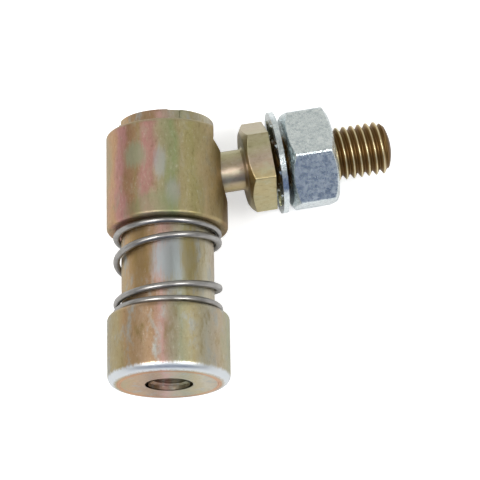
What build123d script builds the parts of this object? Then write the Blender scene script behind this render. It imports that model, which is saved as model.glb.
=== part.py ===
"""Quick-release angle ball joint: a sprung sleeve locks a threaded ball stud into the side of a rod-end socket.

Millimetres. The socket's axis is +Y, from the mouth of its rod thread at the origin. The ball stud leaves
towards +X. The joint lies on its side with +Z up, on the rims of the flange and sleeve and on the nut.
"""
from build123d import *
from math import asin, atan2, cos, degrees, hypot, pi, radians, sin, sqrt, tan
import os

# Socket body, turned from round bar
bar_diameter = 14.29
flange_height = 8.15
flange_foot_round = 1.0
flange_shoulder_round = 0.62
barrel_foot_round = 0.3
body_length = 31.9

# Rolled rim that stops the sleeve, with its staking marks
rim_height = 1.62
rim_lip = 0.19
rim_flare = 0.4
rim_round = 0.12
stake_count = 4
stake_width = 1.5
stake_depth = 0.3
stake_angle = 11.0

# 10-32 rod thread, bored at its minor diameter
rod_thread_minor = 4.06
rod_thread_depth = 12.7
rod_countersink_diameter = 5.6
drill_point_angle = 118.0

# Ball stud, 1/4-28 shank at its major diameter, and at its pitch diameter where the nut is screwed on
ball_diameter = 7.94
ball_below_top = 6.8
neck_diameter = 4.86
neck_reach = 7.35
neck_foot_round = 0.25
hex_flats = 9.525
hex_height = 3.1
hex_face_diameter = 8.7
shank_diameter = 6.3
shank_length = 14.6
nut_seat_diameter = 5.76
nut_seat_overrun = 0.1
shank_end_diameter = 4.9
shank_dome = 0.5
stud_swing = 9.4
stud_hex_clock = 34.2

# Release sleeve and its keyhole
sleeve_wall = 1.65
sleeve_length = 11.73
sleeve_top_round = 0.3
sleeve_foot_round = 0.4
sleeve_seat_chamfer = 0.25
slot_width = 6.2
gate_width = 8.8
gate_foot = 3.35
gate_slope = 41.5

# Sleeve spring
wire_diameter = 0.78
spring_clearance = 0.175
coil_pitch = 1.38
spring_turns = 3.0
seat_turns = 0.4
open_coil_start = 0.8
open_coil_end = 2.3
points_per_turn = 8

# Lock washer with twisted inner teeth
washer_diameter = 12.16
washer_thickness = 0.64
washer_ring_inner_diameter = 9.0
washer_tooth_tip_diameter = 6.78
washer_tooth_count = 10
washer_tooth_width = 1.15
washer_tooth_twist = 24.0
washer_gap = 0.6
washer_lift = 0.15

# Hex nut
nut_flats = 11.11
nut_height = 5.56
nut_face_diameter = 10.4
nut_gap = 0.65
nut_clock = 12.7
chamfer_angle = 30.0

# Clearances
barrel_clearance = 0.06
ball_clearance = 0.09
thread_clearance = 0.05
coil_seat_gap = 0.05

# Worked-out sizes
bar_radius = bar_diameter / 2
barrel_radius = bar_radius - sleeve_wall - barrel_clearance
ball_radius = ball_diameter / 2
pocket_radius = ball_radius + ball_clearance
slot_radius = slot_width / 2
gate_radius = gate_width / 2
sleeve_bore_radius = bar_radius - sleeve_wall
spring_radius = barrel_radius + spring_clearance + wire_diameter / 2
ball_height = body_length - ball_below_top
sleeve_top = body_length - rim_height
sleeve_foot = sleeve_top - sleeve_length
nut_start = neck_reach + hex_height + washer_gap + washer_thickness + nut_gap
nut_corner_radius = nut_flats / 2 / cos(pi / 6)
nut_chamfer_height = (nut_corner_radius - nut_face_diameter / 2) * tan(radians(chamfer_angle))

# The slot's edges hold the ball: its centre stands where the ball nearly meets them inside the sleeve
slot_edge_depth = sqrt(sleeve_bore_radius**2 - slot_radius**2)
ball_offset = slot_edge_depth - sqrt(pocket_radius**2 - slot_radius**2)

# At rest the stud droops until the nut's lowest corner is level with the rims of the flange and sleeve
nut_corner_reach = nut_start + nut_height - nut_chamfer_height
nut_corner_drop = nut_corner_radius * cos(radians(nut_clock))
contact_angle = asin(bar_radius / hypot(nut_corner_reach, nut_corner_drop))
stud_droop = degrees(contact_angle - atan2(nut_corner_drop, nut_corner_reach))

# From a piece built along +Z at the ball's centre to the stud's rest place
stud_place = Pos(ball_offset, ball_height, 0) * Rot(0, 0, stud_swing) * Rot(0, 90 + stud_droop, 0)


def turned(outline_points, axis=Axis.Y, plane=Plane.XY):
    """A solid of revolution from the corners of its half section."""
    return revolve(plane * make_face(Polyline(*outline_points, close=True)), axis)


def edges_at_height(shape, radius, height):
    """The circular edges of a turned piece at one radius and height along Y."""
    found = shape.edges().filter_by(GeomType.CIRCLE)
    return found.filter_by(
        lambda e: abs(e.radius - radius) < 1e-6 and abs(e.arc_center.Y - height) < 1e-6
    )


def make_socket_body():
    """Flange, barrel and rolled rim in one turned piece, with the rod thread's bore and the ball's pocket."""
    rim_radius = barrel_radius + rim_lip
    rim_foot = sleeve_top - rim_flare / 2
    body = turned([
        (0, 0),
        (bar_radius, 0),
        (bar_radius, flange_height),
        (barrel_radius, flange_height),
        (barrel_radius, rim_foot),
        (rim_radius, rim_foot + rim_flare),
        (rim_radius, body_length),
        (0, body_length),
    ])
    body = fillet(edges_at_height(body, bar_radius, 0), flange_foot_round)
    body = fillet(edges_at_height(body, bar_radius, flange_height), flange_shoulder_round)
    body = fillet(edges_at_height(body, barrel_radius, flange_height), barrel_foot_round)
    body = fillet(edges_at_height(body, rim_radius, body_length), rim_round)
    return body - make_rod_bore() - make_ball_pocket() - make_stakes(rim_radius)


def make_rod_bore():
    """Blind tapping hole up the axis, with a 90 degree countersink and a drill point."""
    bore_radius = rod_thread_minor / 2
    sink_radius = rod_countersink_diameter / 2
    point_height = bore_radius / tan(radians(drill_point_angle / 2))
    return turned([
        (0, 0),
        (sink_radius, 0),
        (bore_radius, sink_radius - bore_radius),
        (bore_radius, rod_thread_depth),
        (0, rod_thread_depth + point_height),
    ])


def make_ball_pocket():
    """Round pocket milled in from the side with a ball-ended cutter."""
    bore = Pos(ball_offset, ball_height, 0) * Rot(0, 90, 0) * Cylinder(
        pocket_radius, bar_diameter, align=(Align.CENTER, Align.CENTER, Align.MIN)
    )
    return bore + Pos(ball_offset, ball_height, 0) * Sphere(pocket_radius)


def make_stakes(rim_radius):
    """Punch marks down the rim, where it is staked over the sleeve."""
    mark = Box(stake_width, rim_height, stake_depth * 2, align=(Align.CENTER, Align.MAX, Align.CENTER))
    marks = [
        Rot(0, stake_angle + 360 * n / stake_count, 0) * Pos(0, body_length, rim_radius) * mark
        for n in range(stake_count)
    ]
    return Compound(marks)


def make_release_sleeve():
    """Tube over the barrel, with the keyhole that lets the ball out once the sleeve is drawn back."""
    sleeve = turned([
        (sleeve_bore_radius, sleeve_foot),
        (bar_radius, sleeve_foot),
        (bar_radius, sleeve_top),
        (sleeve_bore_radius + sleeve_seat_chamfer, sleeve_top),
        (sleeve_bore_radius, sleeve_top - sleeve_seat_chamfer),
    ])
    sleeve = fillet(edges_at_height(sleeve, bar_radius, sleeve_top), sleeve_top_round)
    sleeve = fillet(edges_at_height(sleeve, bar_radius, sleeve_foot), sleeve_foot_round)
    return sleeve - make_keyhole()


def make_keyhole():
    """Round-ended slot about the neck that widens to a gate, open at the sleeve's top, for the ball."""
    gate_top = sleeve_top - ball_height + rim_height
    lead_in_height = (gate_radius - slot_radius) * tan(radians(gate_slope))
    side = Plane(origin=(0, ball_height, 0), x_dir=(0, 0, -1), z_dir=(1, 0, 0))
    walls = Polyline(
        (-slot_radius, 0),
        (-slot_radius, gate_foot - lead_in_height),
        (-gate_radius, gate_foot),
        (-gate_radius, gate_top),
        (gate_radius, gate_top),
        (gate_radius, gate_foot),
        (slot_radius, gate_foot - lead_in_height),
        (slot_radius, 0),
        close=True,
    )
    return extrude(side * (make_face(walls) + Circle(slot_radius)), bar_diameter)


def coil_point(turn):
    """A point on the spring's centre line: a flat seat at both ends and one open coil among the close ones."""
    stroke = (turn - open_coil_start) / (open_coil_end - open_coil_start)
    stroke = min(max(stroke, 0), 1)
    coil_foot = flange_height + coil_seat_gap + wire_diameter / 2
    coil_top = sleeve_foot - coil_seat_gap - wire_diameter / 2
    open_rise = coil_top - coil_foot - coil_pitch * spring_turns
    climb = coil_pitch * min(max(turn, 0), spring_turns)
    height = coil_foot + climb + open_rise * stroke**2 * (3 - 2 * stroke)
    angle = 2 * pi * turn
    return (spring_radius * sin(angle), height, spring_radius * cos(angle))


def make_sleeve_spring():
    """Right-hand compression spring of round wire, between the flange and the sleeve."""
    total_turns = spring_turns + 2 * seat_turns
    steps = round(total_turns * points_per_turn)
    line = Spline(*[coil_point(total_turns * n / steps - seat_turns) for n in range(steps + 1)])
    return sweep(Plane(origin=line @ 0, z_dir=line % 0) * Circle(wire_diameter / 2), path=line)


def hexagon(flats, height, clock, chamfer_circle, both_ends):
    """A hexagonal prism up from Z = 0, its corners turned back to a chamfer circle at one or both ends."""
    corner = flats / 2 / cos(pi / 6)
    prism = extrude(RegularPolygon(corner, 6, rotation=clock), height)
    chamfer_radius = chamfer_circle / 2
    wide = corner + 1
    drop = (wide - chamfer_radius) * tan(radians(chamfer_angle))
    top = [(wide, height - drop), (chamfer_radius, height)] if both_ends else [(wide, height)]
    envelope = turned([(0, 0), (chamfer_radius, 0), (wide, drop), *top, (0, height)], Axis.Z, Plane.XZ)
    return prism & envelope


def make_ball_stud():
    """Ball, turned neck, spanner hexagon and shank in one piece, along +Z from the ball's centre."""
    neck_radius = neck_diameter / 2
    shank_radius = shank_diameter / 2
    seat_radius = nut_seat_diameter / 2
    end_radius = shank_end_diameter / 2
    shank_start = neck_reach + hex_height
    shank_end = shank_start + shank_length
    crown_start = shank_end - shank_dome
    ball_join = sqrt(ball_radius**2 - neck_radius**2)
    crown_radius = (end_radius**2 + shank_dome**2) / (2 * shank_dome)
    crown_half_angle = asin(end_radius / crown_radius) / 2
    crown_middle = (
        crown_radius * sin(crown_half_angle),
        shank_end - crown_radius * (1 - cos(crown_half_angle)),
    )
    turned_sides = [
        Polyline((0, shank_end), (0, -ball_radius)),
        ThreePointArc((0, -ball_radius), (ball_radius, 0), (neck_radius, ball_join)),
        Polyline(
            (neck_radius, ball_join),
            (neck_radius, neck_reach - neck_foot_round),
            (neck_radius + neck_foot_round, neck_reach),
            (shank_radius, shank_start),
            (shank_radius, nut_start - nut_seat_overrun),
            (seat_radius, nut_start - nut_seat_overrun),
            (seat_radius, nut_start + nut_height + nut_seat_overrun),
            (shank_radius, nut_start + nut_height + nut_seat_overrun),
            (shank_radius, crown_start - (shank_radius - end_radius)),
            (end_radius, crown_start),
        ),
        ThreePointArc((end_radius, crown_start), crown_middle, (0, shank_end)),
    ]
    shaft = revolve(Plane.XZ * make_face(turned_sides), Axis.Z)
    head = Pos(0, 0, neck_reach) * hexagon(hex_flats, hex_height, stud_hex_clock, hex_face_diameter, False)
    return shaft + head


def make_lock_washer():
    """Stamped ring with teeth inside it, each twisted out of the ring's plane."""
    ring_radius = washer_ring_inner_diameter / 2
    tip_radius = washer_tooth_tip_diameter / 2
    root_radius = ring_radius + washer_thickness
    ring = Cylinder(washer_diameter / 2, washer_thickness) - Cylinder(ring_radius, washer_thickness)
    tooth = Pos((tip_radius + root_radius) / 2, 0, 0) * Rot(washer_tooth_twist, 0, 0) * Box(
        root_radius - tip_radius, washer_tooth_width, washer_thickness
    )
    for n in range(washer_tooth_count):
        ring += Rot(0, 0, 360 * n / washer_tooth_count) * tooth
    centre = neck_reach + hex_height + washer_gap + washer_thickness / 2
    return Pos(0, washer_lift, centre) * ring


def make_hex_nut():
    """Double-chamfered nut, bored to clear its seat on the shank, with a countersink at each mouth."""
    corner = nut_corner_radius
    bore_radius = nut_seat_diameter / 2 + thread_clearance
    sink = (corner - nut_face_diameter / 2) * tan(radians(chamfer_angle)) / 2
    body = hexagon(nut_flats, nut_height, nut_clock, nut_face_diameter, True)
    bore = turned(
        [
            (0, 0),
            (bore_radius + sink, 0),
            (bore_radius, sink),
            (bore_radius, nut_height - sink),
            (bore_radius + sink, nut_height),
            (0, nut_height),
        ],
        Axis.Z,
        Plane.XZ,
    )
    return Pos(0, 0, nut_start) * (body - bore)


parts = {
    "socket_body": make_socket_body(),
    "release_sleeve": make_release_sleeve(),
    "sleeve_spring": make_sleeve_spring(),
    "ball_stud": stud_place * make_ball_stud(),
    "lock_washer": stud_place * make_lock_washer(),
    "hex_nut": stud_place * make_hex_nut(),
}

os.makedirs("parts", exist_ok=True)
for name, shape in parts.items():
    export_step(shape, f"parts/{name}.step")

axis_tip = (stud_place * Pos(0, 0, 1)).position - stud_place.position
print("ball centre", tuple(stud_place.position), "stud axis", tuple(axis_tip))
print("droop", stud_droop, "nut end", nut_start + nut_height)
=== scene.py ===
"""The looks of the quick-release angle ball joint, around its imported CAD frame. Metres, in the row's axes."""

import bmesh
import bpy
import numpy as np
from mathutils import Matrix, Vector


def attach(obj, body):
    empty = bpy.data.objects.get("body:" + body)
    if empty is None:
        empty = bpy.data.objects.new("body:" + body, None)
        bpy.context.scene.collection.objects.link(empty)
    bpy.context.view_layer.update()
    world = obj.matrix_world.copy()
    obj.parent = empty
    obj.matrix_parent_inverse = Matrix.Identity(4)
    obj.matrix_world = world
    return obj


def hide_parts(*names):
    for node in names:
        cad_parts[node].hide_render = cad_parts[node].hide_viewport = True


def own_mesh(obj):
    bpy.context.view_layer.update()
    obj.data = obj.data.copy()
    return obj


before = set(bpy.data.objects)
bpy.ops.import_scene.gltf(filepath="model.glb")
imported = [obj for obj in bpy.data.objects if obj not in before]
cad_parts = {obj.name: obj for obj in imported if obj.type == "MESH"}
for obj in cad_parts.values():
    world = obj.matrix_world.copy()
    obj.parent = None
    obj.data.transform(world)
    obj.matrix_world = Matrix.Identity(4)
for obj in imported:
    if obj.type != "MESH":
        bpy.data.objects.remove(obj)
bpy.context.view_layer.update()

# ---------------------------------------------------------------------------------------------------------
# Socket body: one turned steel piece, a flange for the fingers and a barrel that guides the sleeve. Its rod
# hole is tapped 10-32, its ball pocket is milled from the side, and its rim is staked over the sleeve.
# Zinc plated and dipped in yellow chromate, which dries in iridescent runs along the barrel.
# ---------------------------------------------------------------------------------------------------------
MM = 0.001


def arc(centre, radius, start, end, count=8):
    """Points (r, h) round a centre from one angle to another, in degrees, ends included."""
    a = np.radians(np.linspace(start, end, count + 1))
    return np.column_stack([centre[0] + radius * np.cos(a), centre[1] + radius * np.sin(a)])


def dense(points, step=0.25):
    """A profile with its long spans split, so that shading turns only at the rounds."""
    points = np.asarray(points, float)
    spans = np.linalg.norm(np.diff(points, axis=0), axis=1)
    pieces = [np.linspace(a, b, max(int(np.ceil(d / step)), 1), endpoint=False)
              for a, b, d in zip(points[:-1], points[1:], spans) if d > 1e-9]
    return np.vstack(pieces + [points[-1:]])


def turned(profile, columns=192):
    """A grid of points turned about the third axis: each profile point (r, h) makes a ring."""
    a = np.linspace(0, 2 * np.pi, columns + 1)
    r, h = np.asarray(profile, float).T
    return np.stack([np.outer(r, np.cos(a)), np.outer(r, np.sin(a)), np.outer(h, np.ones_like(a))], axis=-1)


def threaded(start, end, pitch, crest, root, low, high, per_pitch=18, columns=192):
    """A right-handed thread about the third axis, its grid rows lying along the helix.

    Radius = root + (crest - root) x a trapezoid of the phase, where phase = height / pitch - angle / a full
    turn. It is kept between low(h) and high(h), so that it runs out into the cones at both ends. Rows past
    an end lie on that end's ring.
    """
    turn = np.linspace(0, 1, columns + 1)
    rows = np.arange(int(np.ceil((end - start) / pitch) + 1) * per_pitch + 1) / per_pitch - 1
    height = np.clip(start + (rows[:, None] + turn[None, :]) * pitch, start, end)
    phase = (height - start) / pitch - turn
    slope = np.abs(2 * (phase - np.floor(phase)) - 1)
    rise = np.clip((slope - 0.14) / (1 - 0.14 - 0.1), 0, 1)
    radius = root + (crest - root) * rise
    radius = np.clip(radius, low(height), high(height))
    angle = 2 * np.pi * turn[None, :]
    return np.stack([radius * np.cos(angle), radius * np.sin(angle), height], axis=-1)


def piece(name, grids, place, sharp=32.0):
    """One closed mesh from grids of points in millimetres: seams merged, normals outwards, edges over the
    sharp angle left crisp. It is placed in the row's frame by a 4 x 4 matrix."""
    place = np.asarray(place, float)
    bm = bmesh.new()
    for grid in grids:
        rows, cols = grid.shape[:2]
        flat = (grid.reshape(-1, 3) @ place[:3, :3].T + place[:3, 3]) * MM
        index = np.arange(rows * cols).reshape(rows, cols)
        quads = np.stack([index[:-1, :-1], index[:-1, 1:], index[1:, 1:], index[1:, :-1]], axis=-1)
        part = bpy.data.meshes.new(name + "_grid")
        part.from_pydata(flat.tolist(), [], quads.reshape(-1, 4).tolist())
        bm.from_mesh(part)
        bpy.data.meshes.remove(part)
    bmesh.ops.remove_doubles(bm, verts=bm.verts, dist=2e-8)
    bmesh.ops.dissolve_degenerate(bm, edges=bm.edges, dist=1e-9)
    bmesh.ops.recalc_face_normals(bm, faces=bm.faces)
    mesh = bpy.data.meshes.new(name)
    bm.to_mesh(mesh)
    bm.free()
    mesh.shade_smooth()
    mesh.set_sharp_from_angle(angle=np.radians(sharp))
    made = bpy.data.objects.new(name, mesh)
    bpy.context.scene.collection.objects.link(made)
    return made


def carve(target, cutters, sharp=32.0):
    """Takes the cutters' solids out of the target's mesh and drops them."""
    for cutter in cutters:
        cut = target.modifiers.new("carve", "BOOLEAN")
        cut.operation = "DIFFERENCE"
        cut.solver = "EXACT"
        cut.object = cutter
    bpy.context.view_layer.update()
    shaped = target.evaluated_get(bpy.context.evaluated_depsgraph_get())
    mesh = bpy.data.meshes.new_from_object(shaped)
    target.modifiers.clear()
    target.data = mesh
    mesh.name = target.name
    mesh.shade_smooth()
    mesh.set_sharp_from_angle(angle=np.radians(sharp))
    for cutter in cutters:
        bpy.data.objects.remove(cutter)
    return target


def about_y():
    """The matrix that stands a piece turned about its third axis on the socket's axis, +Y."""
    return np.array([[1, 0, 0, 0], [0, 0, 1, 0], [0, -1, 0, 0], [0, 0, 0, 1]], float)


bar_radius = 7.145
barrel_radius = 5.435
sleeve_top = 30.28
body_length = 31.9
rim_radius = barrel_radius + 0.19
flange_height = 8.15
foot_round, shoulder_round, barrel_round, rim_round = 1.0, 0.62, 0.3, 0.12
rod_depth, rod_pitch, rod_outer, rod_inner = 12.7, 0.794, 2.41, 2.03
mouth_radius, mouth_depth = 2.8, 0.45
drill_point = 1.22


def groove(radius, width=0.1, depth=0.05):
    """The profile points of a fine turned groove in the end face."""
    return [(radius - width / 2, 0), (radius, depth), (radius + width / 2, 0)]


socket_profile = np.vstack([
    dense([(mouth_radius, 0)] + groove(5.72) + groove(5.98) + [(bar_radius - foot_round, 0)], 0.2),
    arc((bar_radius - foot_round, foot_round), foot_round, -90, 0, 14),
    dense([(bar_radius, foot_round), (bar_radius, flange_height - shoulder_round)]),
    arc((bar_radius - shoulder_round, flange_height - shoulder_round), shoulder_round, 0, 90, 12),
    dense([(bar_radius - shoulder_round, flange_height), (barrel_radius + barrel_round, flange_height)]),
    arc((barrel_radius + barrel_round, flange_height + barrel_round), barrel_round, -90, -180, 6),
    dense([(barrel_radius, flange_height + barrel_round), (barrel_radius, sleeve_top - 0.2)]),
    dense([(barrel_radius, sleeve_top - 0.2), (rim_radius, sleeve_top + 0.2)], 0.1),
    dense([(rim_radius, sleeve_top + 0.2), (rim_radius, body_length - rim_round)]),
    arc((rim_radius - rim_round, body_length - rim_round), rim_round, 0, 90, 6),
    dense([(rim_radius - rim_round, body_length), (0, body_length)]),
])


def bore_low(h):
    """The bore's least radius: the thread runs in behind the mouth and ends flat at the hole's depth."""
    run_in = np.maximum(rod_outer - 2 * np.maximum(h - mouth_depth, 0), rod_inner)
    return np.where(h > rod_depth - 1e-9, rod_outer, run_in)


def bore_high(h):
    """The bore's greatest radius, a cone at the mouth and then the thread's outer radius."""
    return np.maximum(mouth_radius - 0.8 * h, rod_outer)


bore = threaded(0, rod_depth, rod_pitch, rod_outer, rod_inner, bore_low, bore_high)
bore_end = turned(dense([(rod_outer, rod_depth), (rod_inner, rod_depth), (0, rod_depth + drill_point)]))
socket = piece("socket", [turned(socket_profile), bore, bore_end], about_y())

ball_centre = np.array([1.9153172, 25.1, 0.0])
pocket_place = np.eye(4)
pocket_place[:3, :3] = np.array([[0, 0, 1], [0, 1, 0], [-1, 0, 0]], float)
pocket_place[:3, 3] = ball_centre
pocket_radius, pocket_reach = 4.06, 9.0
pocket_profile = np.vstack([
    arc((0, 0), pocket_radius, -90, 0, 24),
    dense([(pocket_radius, 0), (pocket_radius, pocket_reach)]),
    dense([(pocket_radius, pocket_reach), (0, pocket_reach)]),
])
pocket = piece("pocket_cutter", [turned(pocket_profile, 128)], pocket_place)


def block(low, high):
    """The six sides of a box as one closed grid: end, four walls, end."""
    (x0, y0, z0), (x1, y1, z1) = low, high
    ring = np.array([(x0, y0), (x1, y0), (x1, y1), (x0, y1), (x0, y0)], float)
    middle = np.tile(np.array([(x0 + x1) / 2, (y0 + y1) / 2]), (5, 1))
    levels = [(middle, z0), (ring, z0), (ring, z1), (middle, z1)]
    return np.stack([np.column_stack([r, np.full(5, z)]) for r, z in levels])


def spun(angle):
    """The matrix of a turn about +Y, in degrees from +Z toward +X."""
    a = np.radians(angle)
    c, s = np.cos(a), np.sin(a)
    return np.array([[c, 0, s, 0], [0, 1, 0, 0], [-s, 0, c, 0], [0, 0, 0, 1]], float)


stake_half_width, stake_depth, stake_first = 0.75, 0.3, 11
stake = block(
    (-stake_half_width, sleeve_top, rim_radius - stake_depth),
    (stake_half_width, body_length + 0.5, rim_radius + 1),
)
stakes = [piece(f"stake_cutter_{n}", [stake], spun(stake_first + 90 * n)) for n in range(4)]
carve(socket, [pocket] + stakes)
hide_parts("socket_body")


def tone(value):
    """An sRGB hex colour as linear RGBA."""
    c = np.array([int(value[i:i + 2], 16) for i in (1, 3, 5)]) / 255
    linear = np.where(c <= 0.04045, c / 12.92, ((c + 0.055) / 1.055) ** 2.4)
    return tuple(float(x) for x in linear) + (1.0,)


def node(tree, kind, inputs=(), out=0, stops=(), **settings):
    """Adds a node and gives back one of its outputs. Settings are the node's properties and stops a ramp's
    (place, hex colour) pairs. Inputs are a list in socket order, or a dict by name or number: a socket is
    linked, None is left alone and anything else is a value."""
    made = tree.nodes.new("ShaderNode" + kind)
    for key, value in settings.items():
        setattr(made, key, value)
    for count, (place, colour) in enumerate(stops):
        element = made.color_ramp.elements[count] if count < 2 else made.color_ramp.elements.new(place)
        element.position = place
        element.color = tone(colour)
    for key, value in inputs.items() if isinstance(inputs, dict) else enumerate(inputs):
        if isinstance(value, bpy.types.NodeSocket):
            tree.links.new(value, made.inputs[key])
        elif value is not None:
            made.inputs[key].default_value = value
    return made.outputs[out] if made.outputs else made


def new_material(name, place):
    """An empty metal with its tree, its shader and the piece's own coordinates in millimetres: the third is
    along the axis that the piece is turned about."""
    material = bpy.data.materials.new(name)
    material.use_nodes = True
    tree = material.node_tree
    shader = tree.nodes["Principled BSDF"]
    shader.inputs["Metallic"].default_value = 1.0
    mm = node(tree, "VectorMath", {0: node(tree, "TexCoord", out="Object"), 3: 1000.0}, operation="SCALE")
    inverse = np.linalg.inv(np.asarray(place, float))
    axes = []
    for row in inverse[:3]:
        along = node(tree, "VectorMath", [mm, tuple(row[:3])], "Value", operation="DOT_PRODUCT")
        axes.append(node(tree, "Math", [along, row[3]], operation="ADD"))
    return material, tree, shader, node(tree, "CombineXYZ", axes)


def noise(tree, at, scale, stretch=(1, 1, 1), turn=(0, 0, 0), detail=4.0, rough=0.6):
    """Fractal noise from 0 to 1, its scale in cells per millimetre, turned and stretched by axis."""
    moved = node(tree, "Mapping", {0: at, 2: tuple(np.radians(turn)), 3: stretch})
    return node(tree, "TexNoise", {"Vector": moved, "Scale": scale, "Detail": detail, "Roughness": rough})


def laid(tree, under, over, value, low, high, most=1.0):
    """A colour laid over another where a value rises from low to high, up to a share of most."""
    amount = node(tree, "MapRange", [value, low, high, 0.0, most])
    over = tone(over) if isinstance(over, str) else over
    return node(tree, "Mix", {0: amount, 6: under, 7: over}, 2, data_type="RGBA")


def near(tree, at, centre, radii, edge):
    """1 inside an ellipsoid and 0 outside, its edge broken up by a noise value."""
    offset = node(tree, "VectorMath", [at, centre], operation="SUBTRACT")
    scaled = node(tree, "VectorMath", [offset, radii], operation="DIVIDE")
    distance = node(tree, "VectorMath", [scaled], "Value", operation="LENGTH")
    broken = node(tree, "Math", [edge, 1.6, distance], operation="MULTIPLY_ADD")
    return node(tree, "MapRange", [broken, 2.1, 1.5, 0.0, 1.0])


def chromate(name, place, side, bands, clouds, marks, worn, rough, grain, seed):
    """Yellow chromate over zinc on turned steel. The film's interference colours run in bands along the
    piece: a ramp over the sideways coordinate, its place shifted by noise drawn out along the axis. Clouds
    are where the film is thin, marks are single places where it ran or was rubbed off, worn edges are rings
    by radius and height, and the lathe's fine rings in the steel beneath spread every highlight."""
    material, tree, shader, own = new_material(name, place)
    drawn = node(tree, "VectorMath", [own, (seed, seed, seed)], operation="ADD")
    parts = [node(tree, "SeparateXYZ", [own], axis) for axis in "XYZ"]
    sway = noise(tree, drawn, 0.32, (1, 1, 0.4))
    across = node(tree, "Math", [sway, 4.0, parts["XY".index(side)]], operation="MULTIPLY_ADD")
    across = node(tree, "MapRange", [across, 2.0 - bar_radius, 2.0 + bar_radius, 0.0, 1.0])
    film = node(tree, "ValToRGB", [across], stops=bands)
    cloud = noise(tree, drawn, 0.6, (1, 1, 0.5), detail=6.0, rough=0.68)
    for colour, low, high, most in clouds:
        film = laid(tree, film, colour, cloud, low, high, most)
    fleck = noise(tree, drawn, 3.2, (1, 1, 0.45), detail=6.0, rough=0.75)
    film = laid(tree, film, "#5c4c2e", fleck, 0.54, 0.72, 0.45)
    film = laid(tree, film, "#d6d3c4", fleck, 0.44, 0.3, 0.3)
    strokes = noise(tree, drawn, 1.1, (3.6, 3.6, 0.4), (0, 25, 0), 5.0, 0.7)
    for colour, centre, radii, most in marks:
        film = laid(tree, film, colour, near(tree, own, centre, radii, strokes), 0.0, 1.0, most)
    flat = node(tree, "CombineXYZ", [parts[0], parts[1], None])
    radius = node(tree, "VectorMath", [flat], "Value", operation="LENGTH")
    lathe = node(tree, "CombineXYZ", [radius, None, parts[2]])
    for colour, centre, radii, most in worn:
        film = laid(tree, film, colour, near(tree, lathe, centre, radii, strokes), 0.0, 1.0, most)
    ring = node(tree, "Math", [radius, parts[2]], operation="ADD")
    rings = noise(tree, node(tree, "CombineXYZ", [ring]), 5.0, detail=3.0)
    height = node(tree, "Math", [fleck, 0.6, rings], operation="MULTIPLY_ADD")
    bump = node(tree, "Bump", {"Strength": grain, "Distance": 0.00003, "Height": height})
    roughness = node(tree, "MapRange", [cloud, 0.3, 0.7, rough[0], rough[1]])
    tree.links.new(film, shader.inputs["Base Color"])
    tree.links.new(roughness, shader.inputs["Roughness"])
    tree.links.new(bump, shader.inputs["Normal"])
    return material


def finish(shape, material, body):
    """Gives a piece its material and its slot, and sets it riding on its body."""
    shape.data.materials.clear()
    shape.data.materials.append(material)
    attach(shape, body)


body_bands = [
    (0.0, "#988e6f"), (0.1, "#a5956e"), (0.2, "#b1926c"), (0.28, "#a88d71"), (0.38, "#967a5f"),
    (0.46, "#b49187"), (0.54, "#a79883"), (0.62, "#97967b"), (0.72, "#ada07b"), (0.82, "#b7b19d"),
    (0.92, "#b1a28b"), (1.0, "#9f9e7f"),
]
body_clouds = [("#a3a6a1", 0.52, 0.66, 0.8), ("#917d49", 0.46, 0.34, 0.5)]
body_marks = [
    ("#9ea5a8", (0.6, -5, 13.6), (2.3, 3, 2.6), 0.85),
    ("#94834c", (2.6, -4.6, 14.2), (1.0, 2, 3.0), 0.7),
    ("#997e4e", (-3.2, -4.4, 14.5), (1.4, 2, 4.0), 0.6),
]
body_worn = [
    ("#d3d8dc", (6.85, 0, 0.3), (0.55, 1, 0.55), 0.9),
    ("#c98f66", (5.85, 0, 0), (0.25, 1, 0.3), 0.6),
]
socket_finish = chromate(
    "chromated_turned_steel_body", about_y(), "X", body_bands, body_clouds, body_marks, body_worn,
    (0.34, 0.5), 0.5, 0.0,
)
finish(socket, socket_finish, "socket")

# ---------------------------------------------------------------------------------------------------------
# Release sleeve: a steel tube bored to slide on the barrel, with a keyhole milled through its side. Drawn
# back against the spring, its gate comes level with the ball and lets it out.
# Chromated after machining, with a green and a pink run down its front and pale rubs through the film.
# ---------------------------------------------------------------------------------------------------------
sleeve_bore = 5.495
sleeve_foot = 18.55
top_round, sleeve_foot_round, seat_chamfer = 0.3, 0.4, 0.25
sleeve_profile = np.vstack([
    dense([(sleeve_bore, sleeve_top - seat_chamfer), (sleeve_bore, sleeve_foot)]),
    dense([(sleeve_bore, sleeve_foot), (bar_radius - sleeve_foot_round, sleeve_foot)]),
    arc((bar_radius - sleeve_foot_round, sleeve_foot + sleeve_foot_round), sleeve_foot_round, -90, 0, 10),
    dense([(bar_radius, sleeve_foot + sleeve_foot_round), (bar_radius, sleeve_top - top_round)]),
    arc((bar_radius - top_round, sleeve_top - top_round), top_round, 0, 90, 8),
    dense([(bar_radius - top_round, sleeve_top), (sleeve_bore + seat_chamfer, sleeve_top)]),
    dense([(sleeve_bore + seat_chamfer, sleeve_top), (sleeve_bore, sleeve_top - seat_chamfer)]),
])
sleeve = piece("sleeve", [turned(sleeve_profile)], about_y())


def keyhole_outline(half_slot=3.1, half_gate=4.4, gate_foot=3.35, gate_slope=41.5, top=8.0):
    """The keyhole's outline (sideways, along) about the ball's centre: a half-round, then a wider gate."""
    lead = gate_foot - (half_gate - half_slot) * np.tan(np.radians(gate_slope))
    round_end = arc((0, 0), half_slot, -180, 0, 40)
    right = np.array([(half_slot, lead), (half_gate, gate_foot), (half_gate, top)])
    left = right[::-1] * (-1, 1)
    return np.vstack([round_end, right, left, round_end[:1]])


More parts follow.
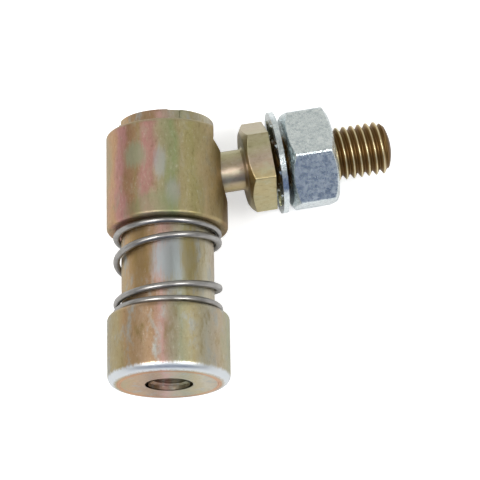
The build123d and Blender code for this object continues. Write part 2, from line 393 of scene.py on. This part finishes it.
outline = keyhole_outline()
centre = np.tile([(0.0, 3.0)], (len(outline), 1))
layers = [(centre, 0.0), (outline, 0.0), (outline, 9.0), (centre, 9.0)]
prism = np.stack([np.column_stack([ring, np.full(len(ring), depth)]) for ring, depth in layers])
keyhole_place = pocket_place.copy()
keyhole_place[:3, 3] = (0, ball_centre[1], 0)
keyhole = piece("keyhole_cutter", [prism], keyhole_place)
carve(sleeve, [keyhole])
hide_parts("release_sleeve")
sleeve_bands = [
    (0.0, "#ab9775"), (0.05, "#b8936e"), (0.1, "#b78a7e"), (0.15, "#b0827b"), (0.2, "#a07d61"),
    (0.27, "#9e8662"), (0.33, "#ab8178"), (0.4, "#9e796e"), (0.46, "#9e9275"), (0.54, "#8a9067"),
    (0.62, "#998d6a"), (0.74, "#9c9366"), (0.84, "#b6a37d"), (0.93, "#a9966c"), (1.0, "#886f4a"),
]
sleeve_clouds = [("#a09b85", 0.54, 0.7, 0.6), ("#876c3f", 0.44, 0.3, 0.45)]
sleeve_marks = [
    ("#979c82", (-3.5, -6.3, 26.1), (1.3, 3, 1.5), 0.7),
    ("#9da2a3", (-0.6, -7, 24.8), (0.7, 3, 1.8), 0.5),
    ("#9b9d9d", (0.9, -7, 21.2), (0.8, 3, 1.6), 0.45),
    ("#868e6b", (-1.6, -7, 19.6), (3.0, 3, 1.6), 0.5),
]
sleeve_worn = [("#a89d7f", (7.1, 0, 30.2), (0.2, 1, 0.25), 0.6)]
sleeve_finish = chromate(
    "chromated_steel_tube", about_y(), "X", sleeve_bands, sleeve_clouds, sleeve_marks, sleeve_worn,
    (0.4, 0.56), 0.5, 4.0,
)
finish(sleeve, sleeve_finish, "sleeve")

# ---------------------------------------------------------------------------------------------------------
# Sleeve spring: hard-drawn round wire wound right-handed, close at both ends and open once between. It sits
# on the flange and pushes the sleeve up against the rim. Left bright and grey, with one long highlight.
# ---------------------------------------------------------------------------------------------------------
wire_radius = 0.39
spring_radius = 6.0
seat_gap = 0.05
coil_pitch, spring_turns, seat_turns = 1.38, 3, 0.4
open_start, open_end = 0.8, 2.3
spring_foot = flange_height + seat_gap + wire_radius
spring_top = sleeve_foot - seat_gap - wire_radius


def tube(centre_line, radius, sides=24, start_cut=0.06):
    """A round tube along a curve: rings square to the curve, in the frame of the curve and the socket's
    axis, closed at both ends by a smaller ring and a point."""
    tangent = np.gradient(centre_line, axis=0)
    tangent /= np.linalg.norm(tangent, axis=1)[:, None]
    side = np.cross(tangent, (0, 1, 0))
    side /= np.linalg.norm(side, axis=1)[:, None]
    up = np.cross(side, tangent)
    a = np.linspace(0, 2 * np.pi, sides + 1)
    rings = np.cos(a)[None, :, None] * side[:, None, :] + np.sin(a)[None, :, None] * up[:, None, :]
    body = centre_line[:, None, :] + radius * rings
    ends = []
    for at, way in ((0, -1), (-1, 1)):
        out = centre_line[at] + way * tangent[at] * start_cut
        lip = out + (radius - start_cut) * rings[at]
        tip = np.tile(out, (sides + 1, 1))
        ends.append([tip, lip] if at == 0 else [lip, tip])
    return np.concatenate([np.stack(ends[0]), body, np.stack(ends[1])])


turn = np.linspace(-seat_turns, spring_turns + seat_turns, 365)
stroke = np.clip((turn - open_start) / (open_end - open_start), 0, 1)
open_share = stroke ** 2 * (3 - 2 * stroke)
open_rise = spring_top - spring_foot - coil_pitch * spring_turns
coil_line = np.column_stack([
    spring_radius * np.sin(2 * np.pi * turn),
    spring_foot + coil_pitch * np.clip(turn, 0, spring_turns) + open_rise * open_share,
    spring_radius * np.cos(2 * np.pi * turn),
])
spring = piece("spring", [tube(coil_line, wire_radius)], np.eye(4))
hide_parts("sleeve_spring")
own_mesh(spring)
wire, tree, shader, own = new_material("bright_drawn_wire", about_y())
draw = noise(tree, own, 0.8, (1, 1, 1))
film = node(tree, "ValToRGB", [draw], stops=[(0.3, "#8f8c88"), (0.7, "#a8a6a3")])
tree.links.new(film, shader.inputs["Base Color"])
tree.links.new(node(tree, "MapRange", [draw, 0.3, 0.7, 0.3, 0.4]), shader.inputs["Roughness"])
finish(spring, wire, "socket")

# ---------------------------------------------------------------------------------------------------------
# Ball stud: turned from one steel bar, with the ball, a necked stem, a spanner hexagon and a rolled 1/4-28
# thread. Chromated like the socket, with the lathe's rings left on the neck. The thread is coloured by depth:
# painted shade in its roots and a painted highlight along its crests.
# ---------------------------------------------------------------------------------------------------------
swing, droop = np.radians(9.4), np.radians(2.986479603)
about_z = np.array([[np.cos(swing), -np.sin(swing), 0], [np.sin(swing), np.cos(swing), 0], [0, 0, 1]])
over = np.pi / 2 + droop
about_side = np.array([[np.cos(over), 0, np.sin(over)], [0, 1, 0], [-np.sin(over), 0, np.cos(over)]])
stud_place = np.eye(4)
stud_place[:3, :3] = about_z @ about_side
stud_place[:3, 3] = ball_centre


def hexagon(flats, height, clock, face_diameter, both_ends, corner, edge, lift, bore=0.0):
    """A hexagonal prism as one grid: columns round its outline with its six corners rounded, rows from the
    bottom face over the chamfer, the side and the top. Each column's chamfer meets its side where the
    outline's own radius crosses the chamfer's cone, which draws the arcs on the flats."""
    inner = flats / 2 - corner
    to_corner = inner / np.cos(np.pi / 6)
    outline = []
    for k in range(6):
        at = np.radians(clock + 60 * k)
        middle = to_corner * np.array([np.cos(at), np.sin(at)])
        a = at + np.radians(np.linspace(-30, 30, 7))
        outline.append(middle + corner * np.column_stack([np.cos(a), np.sin(a)]))
    outline = np.vstack(outline + [outline[0][:1]])
    loop = dense(outline, flats / 60)
    radius = np.linalg.norm(loop, axis=1)
    heading = loop / radius[:, None]
    slope = np.tan(np.radians(30))
    face = face_diameter / 2
    drop = (radius - face) * slope
    one = np.ones_like(radius)
    cut = edge * slope
    a = np.radians(np.linspace(-60, 0, 7))

    def chamfered(level, way):
        rows = [(one * bore, one * level)] if bore else [(0 * one, one * level)]
        rows += [(one * r, one * level) for r in np.linspace(max(bore, 0.6), face, 8)[1:]]
        rows += [(face + (radius - face) * s, level + way * drop * s) for s in np.linspace(0, 1, 6)[1:-1]]
        top = level + way * (drop + cut)
        rows += [(radius - edge + edge * np.cos(x), top + way * edge * np.sin(x)) for x in a]
        return rows

    def square(level, way):
        rows = [(one * bore, one * level)] if bore else [(0 * one, one * level)]
        rows += [((radius - edge) * s, one * level) for s in np.linspace(0.2, 1, 8)]
        b = np.radians(np.linspace(-90, 0, 5))[1:]
        rows += [(radius - edge + edge * np.cos(x), one * (level + way * edge * (1 + np.sin(x)))) for x in b]
        return rows

    bottom = chamfered(lift, 1)
    top = (chamfered if both_ends else square)(lift + height, -1)[::-1]
    between = [(radius, bottom[-1][1] + (top[0][1] - bottom[-1][1]) * s) for s in np.linspace(0, 1, 10)[1:-1]]
    rows = bottom + between + top
    return np.stack([np.column_stack([heading * r[:, None], h]) for r, h in rows])


neck_reach, hex_height, shank_end = 7.35, 3.1, 25.05
ball_radius, neck_radius, shank_radius = 3.97, 2.43, 3.15
thread_pitch, thread_root, fillet = 0.907, 2.6, 0.25
shank_start = neck_reach + hex_height
dome, end_radius = 0.5, 2.45
crown_start = shank_end - dome
ball_join = np.degrees(np.arccos(neck_radius / ball_radius))
neck_start = ball_radius * np.sin(np.radians(ball_join))
ball_profile = np.vstack([
    arc((0, 0), ball_radius, -90, ball_join, 56),
    dense([(neck_radius, neck_start), (neck_radius, neck_reach - fillet)]),
    dense([(neck_radius, neck_reach - fillet), (neck_radius + fillet, neck_reach)], 0.06),
    dense([
        (neck_radius + fillet, neck_reach), (neck_radius + fillet, neck_reach + 0.3), (0, neck_reach + 0.3),
    ]),
])
crown = (end_radius ** 2 + dome ** 2) / (2 * dome)
crown_half = np.degrees(np.arcsin(end_radius / crown))
crown_profile = arc((0, shank_end - crown), crown, 90 - crown_half, 90, 12)


def shank_high(h):
    """The shank's greatest radius: the thread runs out at the hexagon and into a cone at the free end."""
    run_out = thread_root + np.maximum(h - shank_start - 0.3, 0)
    return np.minimum(np.minimum(run_out, shank_radius), end_radius + (crown_start - h))


shank = threaded(
    shank_start, crown_start, thread_pitch, shank_radius, thread_root,
    lambda h: end_radius, shank_high,
)
shank_foot = turned(dense([(0, shank_start), (thread_root, shank_start)]))
stud_hex = hexagon(9.525, hex_height, 34.2, 8.7, False, corner=0.22, edge=0.1, lift=neck_reach)
stud = piece("stud_ball_and_neck", [turned(ball_profile)], stud_place)
stud_head = piece("stud_hexagon", [stud_hex], stud_place, sharp=60)
stud_shank = piece("stud_thread", [shank_foot, shank, turned(crown_profile)], stud_place, sharp=70)
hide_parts("ball_stud")
stud_bands = [
    (0.0, "#afac8b"), (0.3, "#b8a67b"), (0.45, "#b4a28f"),
    (0.6, "#aca683"), (0.8, "#b2a58b"), (1.0, "#a39e7d"),
]
stud_clouds = [("#abb298", 0.54, 0.7, 0.6), ("#978454", 0.46, 0.3, 0.4)]
stud_finish = chromate(
    "chromated_turned_steel_stud", stud_place, "Y", stud_bands, stud_clouds, [], [],
    (0.3, 0.42), 0.9, 9.0,
)
finish(stud, stud_finish, "stud")
finish(stud_head, stud_finish, "stud")
thread_film_and_painted_light, tree, shader, own = new_material("chromated_rolled_thread_painted_light", stud_place)
# Painted light: the thread's colour follows its radius, dark brown in the roots as painted shade and pale along
# the crests as painted highlight, with noise jittering where the colours change.
flat = node(tree, "VectorMath", [own, (1, 1, 0)], operation="MULTIPLY")
radius = node(tree, "VectorMath", [flat], "Value", operation="LENGTH")
painted_light_jitter = noise(tree, own, 2.0, (1, 1, 1))
radius = node(tree, "Math", [painted_light_jitter, 0.12, radius], operation="MULTIPLY_ADD")
depth = node(tree, "MapRange", [radius, thread_root, 3.21, 0.0, 1.0])
# Stops run from painted shade in the roots to a painted highlight on the crests.
thread_shade_and_highlight_stops = [(0.0, "#6b5230"), (0.5, "#8d7248"), (0.85, "#a89064"), (1.0, "#d8cba4")]
film = node(tree, "ValToRGB", [depth], stops=thread_shade_and_highlight_stops)
tree.links.new(film, shader.inputs["Base Color"])
tree.links.new(node(tree, "MapRange", [depth, 0.6, 1.0, 0.5, 0.34]), shader.inputs["Roughness"])
finish(stud_shank, thread_film_and_painted_light, "stud")

# ---------------------------------------------------------------------------------------------------------
# Lock washer: stamped from spring steel with ten teeth inside the ring, each twisted to bite the hexagon
# and the arm. Bright zinc with a clear passivation, loose on the shank.
# ---------------------------------------------------------------------------------------------------------
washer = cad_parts["lock_washer"]


def bright_zinc(name, place, stops, rough, grain):
    """Clear-passivated zinc: a blue-white metal, clouded in fine crystals and dimpled from tumbling in the
    plating barrel, so that neighbouring spots mirror different parts of the room."""
    material, tree, shader, own = new_material(name, place)
    cloud = noise(tree, own, 1.6, detail=6.0, rough=0.72)
    dimple = noise(tree, own, 3.4, detail=5.0, rough=0.7)
    half = node(tree, "Math", [cloud, 0.5], operation="MULTIPLY")
    both = node(tree, "Math", [dimple, 0.5, half], operation="MULTIPLY_ADD")
    roughness = node(tree, "MapRange", [cloud, 0.35, 0.65, rough[0], rough[1]])
    tree.links.new(node(tree, "ValToRGB", [both], stops=stops), shader.inputs["Base Color"])
    tree.links.new(roughness, shader.inputs["Roughness"])
    bump = node(tree, "Bump", {"Strength": grain, "Distance": 0.00008, "Height": dimple})
    tree.links.new(bump, shader.inputs["Normal"])
    return material


zinc_stops = [(0.36, "#a9b3b8"), (0.5, "#ced6d7"), (0.62, "#e6ebea")]
washer_finish = bright_zinc("bright_zinc_spring_steel", stud_place, zinc_stops, (0.2, 0.3), 0.05)
washer.data.materials.clear()
washer.data.materials.append(washer_finish)

# ---------------------------------------------------------------------------------------------------------
# Hex nut: a cold-formed 1/4-28 nut, chamfered on both faces, bright zinc like the washer. Its flats are
# clouded by the plating and its rounded corners catch the light.
# ---------------------------------------------------------------------------------------------------------
nut_start, nut_height, nut_flats, nut_face, nut_clock = 12.34, 5.56, 11.11, 10.4, 12.7
nut_mouth, nut_outer, nut_inner = 3.35, 3.2, 2.9
nut_shell = hexagon(
    nut_flats, nut_height, nut_clock, nut_face, True,
    corner=0.5, edge=0.2, lift=nut_start, bore=nut_mouth,
)


def mouth_cone(h):
    """The radius of the countersinks at the nut's two faces."""
    return nut_mouth - np.minimum(h - nut_start, nut_start + nut_height - h)


nut_bore = threaded(
    nut_start, nut_start + nut_height, thread_pitch, nut_outer, nut_inner,
    lambda h: np.maximum(mouth_cone(h), nut_inner),
    lambda h: np.maximum(mouth_cone(h), nut_outer),
)
nut = piece("nut", [nut_shell], stud_place, sharp=60)
nut_thread = piece("nut_thread", [nut_bore], stud_place, sharp=60)
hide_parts("hex_nut")
nut_finish = bright_zinc("bright_zinc_nut", stud_place, zinc_stops, (0.2, 0.36), 0.7)
finish(nut, nut_finish, "stud")
finish(nut_thread, nut_finish, "stud")

# ---------------------------------------------------------------------------------------------------------
# Stage: a white table under a soft studio tent, with a softbox to each side of the camera. The blue of the
# room, past the tent's edge on the flange's side, is mirrored by the nut's lower flat.
# ---------------------------------------------------------------------------------------------------------
floor_level = -bar_radius * MM
table_side = 3.0
bpy.ops.mesh.primitive_plane_add(size=table_side, location=(0, 0, floor_level))
floor = bpy.context.object
floor.name = "table"
floor.data.transform(floor.matrix_world)
floor.matrix_world = Matrix.Identity(4)
table, tree, shader, own = new_material("white_table", np.eye(4))
shader.inputs["Metallic"].default_value = 0.0
shader.inputs["Base Color"].default_value = (0.86, 0.86, 0.86, 1)
shader.inputs["Roughness"].default_value = 0.8
shader.inputs["Specular IOR Level"].default_value = 0.0
seen = node(tree, "LightPath", out="Is Camera Ray")
tree.links.new(node(tree, "Math", [seen, 0.5], operation="MULTIPLY"), shader.inputs["Emission Strength"])
shader.inputs["Emission Color"].default_value = (1, 1, 1, 1)
floor.data.materials.append(table)

world = bpy.data.worlds.new("studio_tent")
bpy.context.scene.world = world
world.use_nodes = True
tree = world.node_tree
tree.nodes.clear()
along = node(tree, "SeparateXYZ", [node(tree, "TexCoord", out="Generated")], "Y")
along = node(tree, "MapRange", [along, -1.0, 1.0, 0.0, 1.0])
tent = node(tree, "ValToRGB", [along], stops=[
    (0.0, "#5f7196"), (0.08, "#66789c"), (0.2, "#b4b6b8"),
    (0.6, "#bcbcba"), (0.72, "#bfbfbd"), (0.9, "#e6e6e2"),
])
white = node(tree, "Background", [(1, 1, 1, 1), 1.0])
tent = node(tree, "Background", [tent, 1.0])
camera_ray = node(tree, "LightPath", out="Is Camera Ray")
node(tree, "OutputWorld", [node(tree, "MixShader", [camera_ray, tent, white])])


def softbox(name, at, size, power):
    """A square area lamp aimed at the joint."""
    lamp = bpy.data.lights.new(name, "AREA")
    lamp.shape = "SQUARE"
    lamp.size = size
    lamp.energy = power
    made = bpy.data.objects.new(name, lamp)
    bpy.context.scene.collection.objects.link(made)
    made.location = Vector(at)
    made.rotation_euler = (Vector((0.008, 0.018, 0)) - made.location).to_track_quat("-Z", "Y").to_euler()


softbox("left_softbox", (-0.23, -0.09, 0.44), 0.22, 1.5)
softbox("right_softbox", (0.28, -0.09, 0.43), 0.18, 1.2)

# ---------------------------------------------------------------------------------------------------------
# Camera: a long lens above the joint, looking down at 72 degrees and a little toward the flange's end face.
# ---------------------------------------------------------------------------------------------------------
camera = bpy.data.objects.new("camera", bpy.data.cameras.new("camera"))
bpy.context.scene.collection.objects.link(camera)
back = Vector((0, -0.3044, 0.9526)).normalized()
right = Vector((0.99981, -0.01862, -0.00595)).normalized()
up = back.cross(right)
aim = Vector((8.52, 18.05, -2.14)) * MM
distance = 0.330
facing = Matrix((right, up, back)).transposed()
camera.matrix_world = Matrix.Translation(aim + back * distance) @ facing.to_4x4()
camera.data.sensor_width = 36
camera.data.lens = 209.2
camera.data.clip_start = 0.01
camera.data.clip_end = 10
bpy.context.scene.camera = camera
bpy.context.scene.view_settings.view_transform = "Standard"
